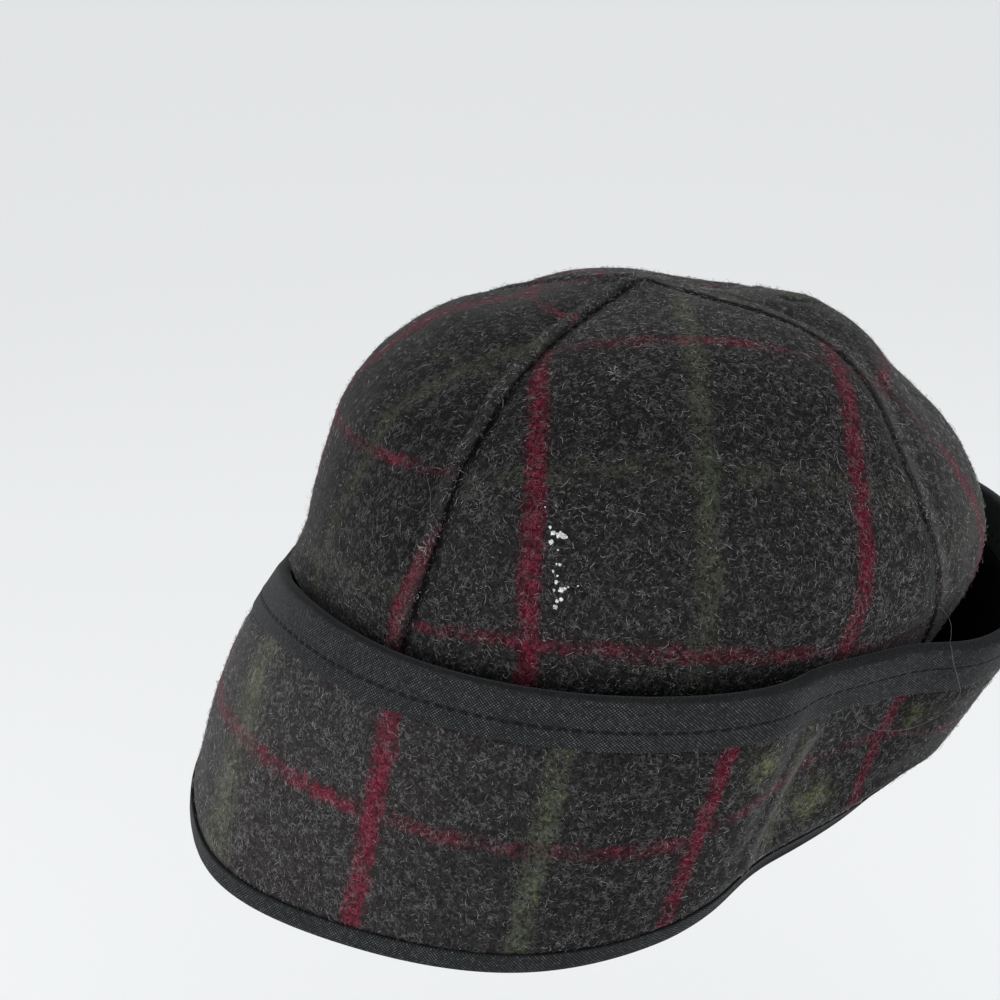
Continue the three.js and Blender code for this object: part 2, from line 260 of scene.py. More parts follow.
def smooth_rows(rows, steps):
    """Rows in between, smooth from row to row; the first and last only give the slope there."""
    part = np.linspace(0, 1, steps, endpoint=False)[:, None]
    fine = []
    for row in range(1, len(rows) - 2):
        slope_in = (rows[row + 1] - rows[row - 1]) / 2
        slope_out = (rows[row + 2] - rows[row]) / 2
        fine.append(rows[row] * (2 * part**3 - 3 * part**2 + 1) + slope_in * (part**3 - 2 * part**2 + part)
                    + rows[row + 1] * (3 * part**2 - 2 * part**3) + slope_out * (part**3 - part**2))
    return np.vstack(fine)


def smooth_line(points, steps):
    ends = 2 * points[[0, -1]] - points[[1, -2]]
    return np.vstack((smooth_rows(np.vstack((ends[:1], points, ends[1:])), steps), points[-1:]))


BAND_TURN = np.array((360.0, 360.0, 0.0, 0.0, BAND_ROUND))
BAND_FINE = smooth_rows(np.vstack((BAND_CUT[-1] - BAND_TURN, BAND_CUT, BAND_CUT[:2] + BAND_TURN)), BAND_STEPS)
BAND_EDGES = np.vstack((BAND_FINE[-BAND_STEPS:] - BAND_TURN, BAND_FINE, BAND_FINE[:BAND_STEPS] + BAND_TURN))


def wrap_degrees(angle):
    return (angle + 180.0) % 360.0 - 180.0


def band_place(points):
    """Length of cloth round the earband and share down from its top edge, for points in metres."""
    angle = np.degrees(np.arctan2(points[:, 1], points[:, 0]))
    height = points[:, 2] / MM
    top_angle = angle
    for _ in range(6):
        top = np.interp(top_angle, BAND_EDGES[:, 0], BAND_EDGES[:, 2])
        foot = np.interp(top_angle, BAND_EDGES[:, 0], BAND_EDGES[:, 3])
        lean = np.interp(top_angle, BAND_EDGES[:, 0], BAND_EDGES[:, 1] - BAND_EDGES[:, 0])
        down = (top - height) / (top - foot)
        top_angle = wrap_degrees(angle - lean * down)
    return np.interp(top_angle, BAND_EDGES[:, 0], BAND_EDGES[:, 4]), down


def band_plaid(points):
    """Plaid position of earband points, in repeats across and along."""
    cloth, down = band_place(points)
    across = np.interp(cloth, *BAND_PLAID.T)
    along = (down - np.interp(cloth, *BAND_RED_LINE.T)) * BAND_DEPTH / BAND_REPEAT_DOWN
    return np.column_stack((across, along))


def panel_plaid(cut):
    """A function that gives crown points their plaid position, in repeats across and along."""
    facing = math.radians(cut["faces"])
    outward = np.array((math.cos(facing), math.sin(facing), 0.0))
    side = np.array((-math.sin(facing), math.cos(facing), 0.0))

    def place(points):
        reach = points - CROWN_HEART
        length = np.linalg.norm(reach, axis=1)
        level = np.hypot(reach[:, 0], reach[:, 1])
        forward = cut["bow"] * (reach @ outward) + (1 - cut["bow"]) * level
        across = CROWN_BALL * np.arcsin(np.clip(reach @ side / length, -1, 1)) / MM
        along = CROWN_BALL * np.arctan2(reach[:, 2], forward) / MM
        turned_across = across - cut["tilt"] * (along - GRAIN_PIVOT)
        turned_along = along + cut["tilt"] * across
        repeats = (turned_across - cut["red_across"]) / cut["repeat_across"]
        rows = (turned_along - cut["red_along"]) / cut["repeat_along"]
        to_line = repeats - np.round(repeats)
        broad = (cut["broad"] * ease(points[:, 2], *BROAD_HEIGHTS)
                 * (1 - np.clip(np.abs(to_line) / BROAD_REACH, 0, 1)))
        return np.column_stack((repeats - to_line * broad, rows))

    return place


# Shader building

class Shader:
    """A material's nodes, made one call at a time."""

    def __init__(self, name, roughness, specular, sheen=0.0, sheen_roughness=0.3):
        self.material = bpy.data.materials.new(name)
        self.material.use_nodes = True
        self.tree = self.material.node_tree
        self.surface = self.tree.nodes["Principled BSDF"].inputs
        for socket, value in (("Roughness", roughness), ("Specular IOR Level", specular),
                              ("Sheen Weight", sheen), ("Sheen Roughness", sheen_roughness)):
            self.feed(self.surface[socket], value)

    def feed(self, socket, value):
        if isinstance(value, bpy.types.NodeSocket):
            self.tree.links.new(value, socket)
        else:
            socket.default_value = (*value, 1.0) if socket.type == "RGBA" else value

    def node(self, kind, feeds=(), **settings):
        made = self.tree.nodes.new(kind)
        for key, value in settings.items():
            setattr(made, key, value)
        for socket, value in dict(feeds).items():
            self.feed(made.inputs[socket], value)
        return made.outputs

    def place(self):
        return self.node("ShaderNodeTexCoord")["Object"]

    def cloth_map(self, name):
        spot = self.node("ShaderNodeUVMap", uv_map=name)[0]
        return self.node("ShaderNodeSeparateXYZ", {0: spot})[:2]

    def math(self, operation, first, second=0.0, third=0.0):
        return self.node("ShaderNodeMath", {0: first, 1: second, 2: third}, operation=operation)[0]

    def times(self, first, *others):
        for other in others:
            first = self.math("MULTIPLY", first, other)
        return first

    def most(self, first, *others):
        for other in others:
            first = self.math("MAXIMUM", first, other)
        return first

    def shift(self, place, offset):
        return self.node("ShaderNodeVectorMath", {0: place, 1: offset}, operation="ADD")[0]

    def scale(self, colour, share):
        return self.node("ShaderNodeVectorMath", {"Vector": colour, "Scale": share}, operation="SCALE")[0]

    def noise(self, place, scale, detail=2.0, roughness=0.5):
        feeds = {"Vector": place, "Scale": scale, "Detail": detail, "Roughness": roughness}
        return self.node("ShaderNodeTexNoise", feeds)["Fac"]

    def ramp(self, value, start, end, low=0.0, high=1.0):
        feeds = dict(enumerate((value, start, end, low, high)))
        return self.node("ShaderNodeMapRange", feeds, interpolation_type="SMOOTHSTEP")[0]

    def mix(self, share, first, second):
        return self.node("ShaderNodeMix", {0: share, 6: first, 7: second}, data_type="RGBA")[2]

    def attribute(self, name):
        return self.node("ShaderNodeAttribute", attribute_name=name)["Fac"]

    def finish(self, colour, height, strength, distance):
        bump = self.node("ShaderNodeBump", {"Strength": strength, "Distance": distance, "Height": height})
        self.feed(self.surface["Base Color"], colour)
        self.feed(self.surface["Normal"], bump[0])
        return self.material


def plain_material(name, colour, roughness, specular):
    plain = Shader(name, roughness, specular)
    plain.feed(plain.surface["Base Color"], colour)
    return plain.material


def fibre_lines(wool, place, scale, thin, offset):
    """Short curly fibres: thin contour lines of a noise, broken up by a second one."""
    moved = wool.shift(place, offset)
    line = wool.math("ABSOLUTE", wool.math("SUBTRACT", wool.noise(moved, scale, 1.0), 0.5))
    broken = wool.ramp(wool.noise(moved, scale * 0.55, 1.0), 0.5, 0.6)
    return wool.times(wool.ramp(line, 0.0, thin, 1.0, 0.0), broken)


# Colours of the wool, dark in the hollows of the weave and light on its crests
COOL_GROUND, WARM_GROUND = (0.0060, 0.0061, 0.0068), (0.0075, 0.0063, 0.0065)
LIGHT_GROUND = (0.0196, 0.0188, 0.0192)
DARK_OLIVE, LIGHT_OLIVE = (0.0130, 0.0150, 0.0098), (0.078, 0.088, 0.055)
DARK_MOSS, LIGHT_MOSS = (0.016, 0.018, 0.010), (0.125, 0.130, 0.064)
DARK_WINE, LIGHT_WINE = (0.024, 0.0022, 0.0056), (0.112, 0.0100, 0.0240)
CRIMSON_CREST = (0.26, 0.026, 0.062)
GREY_FIBRE, RED_FIBRE = (0.082, 0.082, 0.084), (0.180, 0.040, 0.062)
# Colour where the wool is drawn paler, partly dust and partly painted light; rubbed wool with a painted
# highlight; and painted shade
DUST_AND_PAINTED_LIGHT, RUBBED_WOOL_AND_PAINTED_HIGHLIGHT, WOOL_SHADE = (0.115, 0.096, 0.086), (0.085, 0.081, 0.079), (0.0015, 0.0015, 0.0015)
# The three sizes of fibre drawn on the wool: scale, thinness and where its pattern starts
FIBRES = ((420.0, 0.035, (0.1, 0.2, 0.3)), (640.0, 0.045, (0.5, 0.4, 0.1)), (900.0, 0.06, (0.7, 0.9, 0.6)))


def plaid_wool_material():
    wool = Shader("plaid_wool", roughness=1.0, specular=0.02, sheen=0.13, sheen_roughness=0.34)
    place = wool.place()
    across, along = wool.cloth_map("plaid")
    fray = wool.times(wool.math("SUBTRACT", wool.noise(place, 300.0, 5.0, 0.8), 0.5), 0.095)
    to_warp = wool.math("PINGPONG", wool.math("ADD", across, fray), 0.5)
    to_weft = wool.math("PINGPONG", wool.math("ADD", along, fray), 0.5)
    patchy = wool.noise(place, 75.0, 3.0, 0.6)
    worn = wool.noise(wool.shift(place, (0.3, 0.1, 0.2)), 240.0, 4.0, 0.7)
    mottle = wool.noise(place, 1000.0, 4.0, 0.75)
    grain = wool.ramp(mottle, 0.36, 0.66)
    slow = wool.ramp(wool.noise(wool.shift(place, (0.7, 0.2, 0.5)), 45.0, 2.0), 0.35, 0.65)

    # The red and green lines
    red_warp = wool.times(wool.ramp(to_warp, 0.012, 0.047, 1.0, 0.0), wool.ramp(worn, 0.32, 0.60, 0.30, 0.95),
                          wool.ramp(wool.attribute("faded"), 0.0, 1.0, 1.0, 0.12))
    red_weft = wool.times(wool.ramp(to_weft, 0.008, 0.036, 1.0, 0.0),
                          wool.ramp(patchy, 0.38, 0.68, 0.12, 0.62), wool.ramp(worn, 0.32, 0.6, 0.35, 1.0),
                          wool.ramp(wool.attribute("strong"), 0.0, 1.0, 1.0, 2.5))
    green_warp = wool.times(wool.ramp(to_warp, 0.440, 0.496), wool.ramp(patchy, 0.34, 0.62, 0.40, 1.0),
                            wool.ramp(worn, 0.38, 0.58, 0.42, 1.0),
                            wool.ramp(wool.attribute("dull"), 0.0, 1.0, 1.0, 0.0))
    green_weft = wool.times(wool.ramp(to_weft, 0.44, 0.485), wool.ramp(worn, 0.35, 0.65, 0.0, 0.45))
    red, green = wool.most(red_warp, red_weft), wool.most(green_warp, green_weft)

    # The dyed wool
    ground = wool.mix(grain, wool.mix(slow, COOL_GROUND, WARM_GROUND), LIGHT_GROUND)
    wine = wool.mix(wool.ramp(mottle, 0.62, 0.76), wool.mix(grain, DARK_WINE, LIGHT_WINE), CRIMSON_CREST)
    mossy = wool.times(wool.attribute("olive"), wool.ramp(worn, 0.40, 0.58, 0.12, 1.0))
    colour = wool.mix(green, ground, wool.mix(grain, DARK_OLIVE, LIGHT_OLIVE))
    colour = wool.mix(mossy, colour, wool.mix(grain, DARK_MOSS, LIGHT_MOSS))
    colour = wool.mix(red, colour, wine)

    # Fibres; wear with painted light and shade; rubbed wool with painted highlights; painted shade
    fibres = wool.most(*(fibre_lines(wool, place, *size) for size in FIBRES))
    colour = wool.mix(wool.times(fibres, 0.68), colour, wool.mix(red, GREY_FIBRE, RED_FIBRE))
    # Wear and painted light and shade make the wool paler or darker
    colour = wool.scale(colour, wool.math("ADD", wool.attribute("pale"), 1.0))
    colour = wool.mix(wool.most(wool.times(wool.attribute("pale"), 0.13), 0.0), colour, DUST_AND_PAINTED_LIGHT)
    # A rubbed ridge, with a painted highlight on it
    rubbed = wool.times(wool.attribute("rubbed"), wool.ramp(worn, 0.35, 0.6, 0.45, 1.0))
    colour = wool.mix(rubbed, colour, RUBBED_WOOL_AND_PAINTED_HIGHLIGHT)
    # Painted shade in the seam grooves, the slit and beside the tapes
    colour = wool.mix(wool.times(wool.attribute("tucked"), 0.85), colour, WOOL_SHADE)
    height = wool.math("ADD", wool.times(mottle, 0.9), fibres)
    return wool.finish(colour, height, 0.6, 0.5 * MM)


# The tape's yarns and colours
YARN_ROUND, YARN_DOWN = 0.46 * MM, 0.40 * MM
FRESH_THREAD, FADED_THREAD = (0.031, 0.034, 0.036), (0.054, 0.058, 0.061)
LIGHT_THREAD, DARK_THREAD = (0.105, 0.112, 0.116), (0.018, 0.019, 0.020)
BETWEEN_THREADS = (0.0085, 0.0093, 0.0098)
# The second colour is painted shade, where the bottom tape turns under
SEWN_SHADE, TAPE_PAINTED_SHADE = (0.0022, 0.0023, 0.0025), (0.0030, 0.0032, 0.0033)


def tape_material():
    tape = Shader("black_tape", roughness=0.8, specular=0.06, sheen=0.08, sheen_roughness=0.35)
    around, down = tape.cloth_map("tape")
    place = tape.place()
    yarn_one = tape.math("SINE", tape.times(around, math.pi / YARN_ROUND))
    yarn_two = tape.math("SINE", tape.times(down, math.pi / YARN_DOWN))
    relief = tape.ramp(tape.attribute("folded"), 0.0, 1.0, 0.5, 0.14)
    weave = tape.math("MULTIPLY_ADD", tape.times(yarn_one, yarn_two), relief, 0.5)
    uneven = tape.noise(place, 1100.0, 2.0)
    thread = tape.mix(tape.ramp(tape.noise(place, 110.0, 3.0), 0.3, 0.7), FRESH_THREAD, FADED_THREAD)
    thread = tape.mix(tape.ramp(uneven, 0.52, 0.68), thread, LIGHT_THREAD)
    thread = tape.mix(tape.ramp(uneven, 0.48, 0.34), thread, DARK_THREAD)
    colour = tape.mix(tape.ramp(weave, 0.44, 0.92), BETWEEN_THREADS, thread)
    from_stitching = tape.math("ABSOLUTE", tape.math("SUBTRACT", down, STITCH_DOWN * MM))
    from_middle = tape.math("SUBTRACT", around, STITCH_LENGTH / 2 * MM)
    to_stitch = tape.math("PINGPONG", from_middle, STITCH_PITCH / 2 * MM)
    sewn_in = tape.times(tape.ramp(from_stitching, 0.15 * MM, 0.75 * MM, 1.0, 0.0),
                         tape.ramp(to_stitch, 0.75 * MM, 1.45 * MM, 1.0, 0.4))
    colour = tape.mix(tape.times(sewn_in, 0.70), colour, SEWN_SHADE)
    # Painted shade where the bottom tape turns under
    colour = tape.mix(tape.attribute("tucked"), colour, TAPE_PAINTED_SHADE)
    height = tape.math("SUBTRACT", tape.times(weave, 0.3), sewn_in)
    return tape.finish(colour, height, 0.8, 0.45 * MM)


def black_cloth_material():
    cotton = Shader("black_cloth", roughness=0.95, specular=0.02)
    place = cotton.place()
    yarn = cotton.noise(place, 1500.0, 2.0)
    height = cotton.math("ADD", cotton.times(yarn, 0.4), cotton.noise(place, 70.0, 2.0))
    colour = cotton.mix(cotton.ramp(yarn, 0.3, 0.7), (0.0025, 0.0025, 0.0027), (0.0065, 0.0065, 0.007))
    return cotton.finish(colour, height, 0.4, 0.6 * MM)


def grainy_material(name, roughness, specular, grains, ramp, colours, depth):
    """A material with one fine grain in its colour and its surface."""
    made = Shader(name, roughness, specular)
    grain = made.noise(made.place(), *grains)
    return made.finish(made.mix(made.ramp(grain, *ramp), *colours), grain, 0.5, depth)


plaid_wool = plaid_wool_material()
black_tape = tape_material()
black_cloth = black_cloth_material()
black_thread = grainy_material("black_thread", 0.7, 0.08, (2600.0, 2.0), (0.35, 0.65),
                               ((0.0025, 0.0025, 0.0028), (0.012, 0.0125, 0.013)), 0.1 * MM)
dried_paint = grainy_material("dried_paint", 0.6, 0.2, (1800.0, 3.0), (0.35, 0.6),
                              ((0.30, 0.32, 0.31), (0.66, 0.69, 0.67)), 0.2 * MM)

# Cloth pieces

WELD = 0.002 * MM
SHARP_EDGE, FLAT_ENOUGH, SQUARE_ENOUGH = np.radians((50.0, 40.0, 70.0))
PANEL_CREASE, BAND_CREASE, TAPE_CREASE = 0.75, 0.7, 0.4


def unit(vectors):
    return vectors / np.linalg.norm(vectors, axis=-1, keepdims=True)


def ease(values, start, end):
    """Zero at start, one at end, smooth between."""
    part = np.clip((values - start) / (end - start), 0, 1)
    return part * part * (3 - 2 * part)


def hump(values, start, full, going, gone):
    """One between full and going, zero before start and after gone, smooth between."""
    return ease(values, start, full) * (1 - ease(values, going, gone))


def undulation(points, size, seed):
    """Slow irregular waves through space, about one at their highest."""
    draw = np.random.default_rng(seed)
    total = np.zeros(len(points))
    for heading in unit(draw.normal(size=(10, 3))):
        length = size * draw.uniform(0.7, 1.4)
        total += np.sin(points @ heading * math.tau / length + draw.uniform(0, math.tau))
    return total / 4.5


def waves(points, table):
    """The sum of a table's slow waves, in millimetres."""
    return sum(height * undulation(points, size * MM, seed) for height, size, seed in table)


def from_heart(points):
    return unit(points - CROWN_HEART)


def from_axis(points):
    return unit(points * (1, 1, 0))


def add_piece(name, mesh):
    """A mesh as a piece of its own."""
    mesh.shade_smooth()
    piece = bpy.data.objects.new(name, mesh)
    scene.collection.objects.link(piece)
    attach(piece, "root")
    return piece


def piece_from(form, name, material):
    """A bmesh as a piece of one material."""
    mesh = bpy.data.meshes.new(name)
    form.to_mesh(mesh)
    form.free()
    mesh.materials.append(material)
    return add_piece(name, mesh)


def soft_copy(node, name, material, crease, levels=2):
    """A smoothed copy of one packed wall, as the piece that stands for it."""
    form = bmesh.new()
    form.from_mesh(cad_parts[node].data)
    bmesh.ops.remove_doubles(form, verts=form.verts, dist=WELD)
    bmesh.ops.join_triangles(form, faces=form.faces, angle_face_threshold=FLAT_ENOUGH,
                             angle_shape_threshold=SQUARE_ENOUGH)
    creases = form.edges.layers.float.new("crease_edge")
    for edge in form.edges:
        if edge.calc_face_angle(0.0) > SHARP_EDGE:
            edge[creases] = crease
    piece = piece_from(form, name, material)
    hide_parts(node)
    rough = piece.data
    piece.modifiers.new("soften", "SUBSURF").levels = levels
    depsgraph = bpy.context.evaluated_depsgraph_get()
    smooth = bpy.data.meshes.new_from_object(piece.evaluated_get(depsgraph))
    piece.modifiers.clear()
    piece.data = smooth
    bpy.data.meshes.remove(rough)
    smooth.name = name
    return piece


def read(items, field, width, kind=float):
    """One field of all items of a mesh, a row for each."""
    found = np.empty((len(items), width), kind)
    items.foreach_get(field, found.ravel())
    return found


def points_of(piece):
    return read(piece.data.vertices, "co", 3)


def normals_of(piece):
    return read(piece.data.vertex_normals, "vector", 3)


def move_points(piece, points):
    piece.data.vertices.foreach_set("co", np.ascontiguousarray(points).ravel())
    piece.data.update()


def tree_of(piece):
    return BVHTree.FromObject(piece, bpy.context.evaluated_depsgraph_get())


def nearest(trees, place):
    """The closest point on several surfaces, with its normal, face and distance."""
    return min((tree.find_nearest(place) for tree in trees), key=lambda hit: hit[3])


def map_cloth(piece, name, places, gain=0.0):
    """A UV map with a place for every vertex; gain is what the first number gains in a round of a ring."""
    index = read(piece.data.loops, "vertex_index", 1, np.int32).ravel()
    corners = places[index].astype(np.float32)
    if gain:
        starts = read(piece.data.polygons, "loop_start", 1, np.int32).ravel()
        sizes = np.diff(np.append(starts, len(index)))
        highest = np.repeat(np.maximum.reduceat(corners[:, 0], starts), sizes)
        corners[corners[:, 0] < highest - gain / 2, 0] += gain
    piece.data.uv_layers.new(name=name).data.foreach_set("uv", corners.ravel())


def note(piece, **numbers):
    """Keeps numbers for every vertex, by name."""
    for name, values in numbers.items():
        kept = piece.data.attributes.new(name, "FLOAT", "POINT")
        kept.data.foreach_set("value", np.ascontiguousarray(values, np.float32))


# Crown


def tape_height(points):
    """Height of the earband's top edge, on the side that each point is on."""
    angle = np.degrees(np.arctan2(points[:, 1], points[:, 0]))
    return np.interp(angle, BAND_EDGES[:, 0], BAND_EDGES[:, 2]) * MM


def settled(points):
    """Crown points moved to where the worn cloth lies: seams drawn round, a puff over the tape, and dents."""
    angle = np.arctan2(points[:, 1], points[:, 0])
    level = np.hypot(points[:, 0], points[:, 1])
    for drawn in DRAWN_SEAMS:
        seam_angle, turn = (np.interp(points[:, 2] / MM, drawn[:, 0], column) for column in drawn.T[1:])
        from_seam = np.radians(wrap_degrees(np.degrees(angle) - seam_angle)) * level
        angle = angle + np.radians(turn) * np.exp(-(from_seam / SEAM_DRAW_REACH) ** 2)
    puff = np.interp((points[:, 2] - tape_height(points)) / MM, *PUFF.T)
    level = level + MM * puff * hump(np.degrees(angle) % 360, *PUFF_SIDE)
    moved = np.column_stack((level * np.cos(angle), level * np.sin(angle), points[:, 2]))
    for *place, reach, rise in DENTS:
        near = np.exp(-(((moved - place) * DENT_SQUASH / reach) ** 2).sum(axis=1))
        moved = moved + from_heart(moved) * (rise * near)[:, None]
    return moved


panels = {}
for side, looks in PANEL_LOOKS.items():
    panels[side] = soft_copy("crown_panel_" + side, side + "_panel", plaid_wool, PANEL_CREASE,
                             looks["levels"])
    move_points(panels[side], settled(points_of(panels[side])))
panel_trees = {side: tree_of(panel) for side, panel in panels.items()}
NO_SEAM = 20 * MM


def seam_distances(side):
    """How far each point of a panel is from each of the other panels, up to a limit."""
    points = [Vector(point) for point in points_of(panels[side])]
    far = {}
    for name, tree in panel_trees.items():
        if name != side:
            hits = [tree.find_nearest(point, NO_SEAM)[3] for point in points]
            far[name] = np.array([NO_SEAM if hit is None else hit for hit in hits])
    return far


def line_distance(points, start, end):
    """Distance to a straight line between two points, and the share of the way along it."""
    along = end - start
    share = np.clip((points - start) @ along / (along @ along), 0, 1)
    return np.linalg.norm(points - start - share[:, None] * along, axis=1), share


panel_fuzz, panel_wear_and_painted_light = {}, {}
for side, panel in panels.items():
    looks = PANEL_LOOKS[side]
    points, normals = points_of(panel), normals_of(panel)
    height = points[:, 2]
    map_cloth(panel, "plaid", panel_plaid(PANELS[side])(points))
    away = seam_distances(side)
    to_seam = np.min(list(away.values()), axis=0)
    outer = ease((normals * from_heart(points)).sum(axis=1), *CROWN_OUTER)
    above_band = ease(height, *SMOOTH_BEHIND)
    lapped_over = looks["lift"] > 0
    at_edge = 1 - ease(to_seam, *SEAM_EDGE)
    lift = MM * (looks["lift"] * hump(to_seam, *WELT) * outer + waves(points, CROWN_WAVES))
    faded = np.zeros(len(points))
    # Painted shade: on a lapped panel along its edge where it turns in, on an under panel in the groove
    # beside each seam
    if lapped_over:
        spread = at_edge * outer * MM * (0.4 + 0.5 * undulation(points, EDGE_WAVE, 12))
        tucked = at_edge * (1 - outer)
    else:
        spread = at_edge * 0.5 * MM
        tucked = np.max([dark * (1 - ease(away[other], GROOVE_FROM, wide * MM))
                         for (under, other), (dark, wide) in GROOVES.items() if under == side], axis=0)
    # Painted shade on the crown just above the tape's edge
    behind_tape = height - tape_height(points)
    tucked = np.maximum(tucked, TAPE_SHADE * outer * (1 - ease(behind_tape, *TAPE_SHADE_END)))
    if side == "right":
        slit, share = line_distance(points, TUCK_FROM, TUCK_TO)
        tuck = np.exp(-(slit / TUCK_WIDTH) ** 2) * np.sin(math.pi * np.clip(share, 0.02, 0.98))
        lift -= TUCK_DEPTH * tuck
        # Painted shade in the slit
        tucked = np.maximum(tucked, tuck)
        faded = ease(height, *RIGHT_FADE)
    if side == "left":
        faded = 1 - ease(np.linalg.norm(points - LEFT_FADE, axis=1), *LEFT_FADE_REACH)
    move_points(panel, points + from_heart(points) * (lift * above_band)[:, None] + normals * spread[:, None])
    # The rubbed ridge beside a lapped seam, drawn with a painted highlight
    ridge = lapped_over * outer * (1 - ease(to_seam, *SEAM_RIDGE))
    panel_wear_and_painted_light[side] = np.interp(height / MM, *np.array(PANEL_WEAR_AND_PAINTED_LIGHT[side]).T)
    panel_fuzz[side] = (1 - 0.8 * tucked) * (1 + looks["fuzzy"] * ridge) * (height > BARE_BEHIND)
    note(panel, tucked=tucked, faded=faded, strong=np.full(len(points), looks["strong"]),
         dull=looks["dull"] * (1 - ease(height, *DULL_HEIGHTS)), rubbed=looks["rubbed"] * ridge,
         pale=panel_wear_and_painted_light[side])

# Earband


def turned_under(points):
    """How far the earband's bottom edge turns in on the right, where it curls under."""
    cloth, down = band_place(points)
    return TURN_UNDER * hump(cloth, *TURN_UNDER_ROUND) * ease(down, *TURN_UNDER_DOWN)


def turn_under(piece):
    points = points_of(piece)
    move_points(piece, points - from_axis(points) * turned_under(points)[:, None])


earband = soft_copy("earband", "earband_wool", plaid_wool, BAND_CREASE, levels=3)
points = points_of(earband)
map_cloth(earband, "plaid", band_plaid(points), BAND_REPEATS)
outside = ease((normals_of(earband) * from_axis(points)).sum(axis=1), *BAND_OUTER)
cloth, down = band_place(points)
crest = smooth_line(FOLD_CREST, 6)
to_crest = np.min([line_distance(points, *ends)[0] for ends in zip(crest[:-1], crest[1:])], axis=0)
swell = sum(rise * hump(down, *span) for rise, span in BAND_SWELLS)
fold = FOLD_RISE * np.exp(-(to_crest / FOLD_WIDTH) ** 2)
ripple = hump(down, *BAND_CLEAR) * (fold + waves(points, BAND_WAVES))
rise = MM * outside * (swell + ripple) - turned_under(points)
move_points(earband, points + from_axis(points) * rise[:, None])
patches = [np.exp(-(np.linalg.norm(points - spot[:3], axis=1) / spot[3]) ** 2) for spot in OLIVE_PATCHES]
band_wear_and_painted_light = np.interp(cloth, *BAND_WEAR_AND_PAINTED_LIGHT.T)
# A painted highlight along the fold's crest, and painted shade on the wool above the bottom tape
note(earband, olive=np.max(patches, axis=0), rubbed=0.5 * np.exp(-(to_crest / FOLD_HIGHLIGHT_WIDTH) ** 2) * outside,
     tucked=ease(down, *BAND_PAINTED_SHADE), strong=0.7 * (1 - ease(cloth, *BAND_STRONG)) + 0.15, pale=band_wear_and_painted_light)

# The tapes' folded edges: radius in millimetres, and tilts of the face in radians
FOLD_RADIUS, FOLD_FROM, FOLD_TILT = 1.2, 0.6, (0.45, 1.0)


def tape_map(piece, edge):
    """Maps a tape by the length round and the depth down, and on over its folded edge."""
    points = points_of(piece)
    cloth, down = band_place(points)
    tilt = np.arccos(np.clip((normals_of(piece) * from_axis(points)).sum(axis=1), -1, 1))
    over = edge * FOLD_RADIUS * np.maximum(tilt - FOLD_FROM, 0.0)
    note(piece, folded=ease(tilt, *FOLD_TILT))
    map_cloth(piece, "tape", np.column_stack((cloth, down * BAND_DEPTH + over)) * MM, BAND_ROUND * MM)


top_tape = soft_copy("top_binding", "top_tape", black_tape, TAPE_CREASE)
tape_map(top_tape, -1)
bottom_tape = soft_copy("bottom_binding", "bottom_tape", black_tape, TAPE_CREASE)
tape_map(bottom_tape, 1)
# Painted shade on the bottom tape where it turns under
note(bottom_tape, tucked=0.75 * turned_under(points_of(bottom_tape)) / TURN_UNDER)
turn_under(bottom_tape)
facing = soft_copy("earband_lining", "earband_facing", black_cloth, BAND_CREASE)
turn_under(facing)

# How deep a sewn edge goes into its neighbour, and from how far it is drawn there
SEWN_OVERLAP = 0.3 * MM
SEWN_REACH = (0.7 * MM, 1.9 * MM)


def sew_to(piece, others):
    """Closes the hairline where a rounded edge meets the pieces that it is sewn to."""
    points = points_of(piece)
    trees = [tree_of(other) for other in others]
    for row, place in enumerate(map(Vector, points)):
        found, normal, _, away = nearest(trees, place)
        if (place - found).dot(normal) > 0:
            pull = (away + SEWN_OVERLAP) * (1 - ease(away, *SEWN_REACH))
            points[row] += np.array((found - place).normalized()) * pull
    move_points(piece, points)


carrier = soft_copy("earband_gusset", "earband_carrier", black_cloth, BAND_CREASE)
turn_under(carrier)
sew_to(carrier, [bottom_tape, *panels.values()])

# Stitching along the top tape

tape_tree = tree_of(top_tape)
# Farther from the axis than any piece
RAY_START = 0.2


def on_the_tape(cloth, down):
    """Point and normal on the tape's outer face, a length of cloth round and a share down the band."""
    row = [np.interp(cloth, BAND_EDGES[:, 4], BAND_EDGES[:, column]) for column in range(4)]
    angle = math.radians(row[0] + (row[1] - row[0]) * down)
    height = (row[2] + (row[3] - row[2]) * down) * MM
    inward = Vector((-math.cos(angle), -math.sin(angle), 0.0))
    found, normal, _, _ = tape_tree.ray_cast(Vector((0.0, 0.0, height)) - inward * RAY_START, inward)
    return found, normal


stitch_form = bmesh.new()
for stitch in range(STITCHES):
    start, normal = on_the_tape(stitch * STITCH_PITCH, STITCH_DOWN / BAND_DEPTH)
    end, _ = on_the_tape(stitch * STITCH_PITCH + STITCH_LENGTH, STITCH_DOWN / BAND_DEPTH)
    along = (end - start).normalized()
    sideways = normal.cross(along).normalized()
    upward = along.cross(sideways)
    axes = (along * (end - start).length / 2, sideways * STITCH_WIDE * MM, upward * STITCH_HIGH * MM)
    made = bmesh.ops.create_uvsphere(stitch_form, u_segments=6, v_segments=6, radius=1.0)
    bmesh.ops.transform(stitch_form, verts=made["verts"],
                        matrix=Matrix.Translation((start + end) / 2) @ Matrix(axes).transposed().to_4x4())
stitches = piece_from(stitch_form, "top_tape_stitches", black_thread)

# Paint flecks on the back panel

SNAP_REACH = 2.5 * MM


def snap(trees, places, lift):
    """Each place moved to the nearest surface that is close by, and lifted off it, with the normals there."""
    moved, uprights = [], []
    for place in map(Vector, places):
        found, normal, _, away = nearest(trees, place)
        moved.append(found + normal * lift if away < SNAP_REACH else place)
        uprights.append(normal)
    return np.array(moved), np.array(uprights)


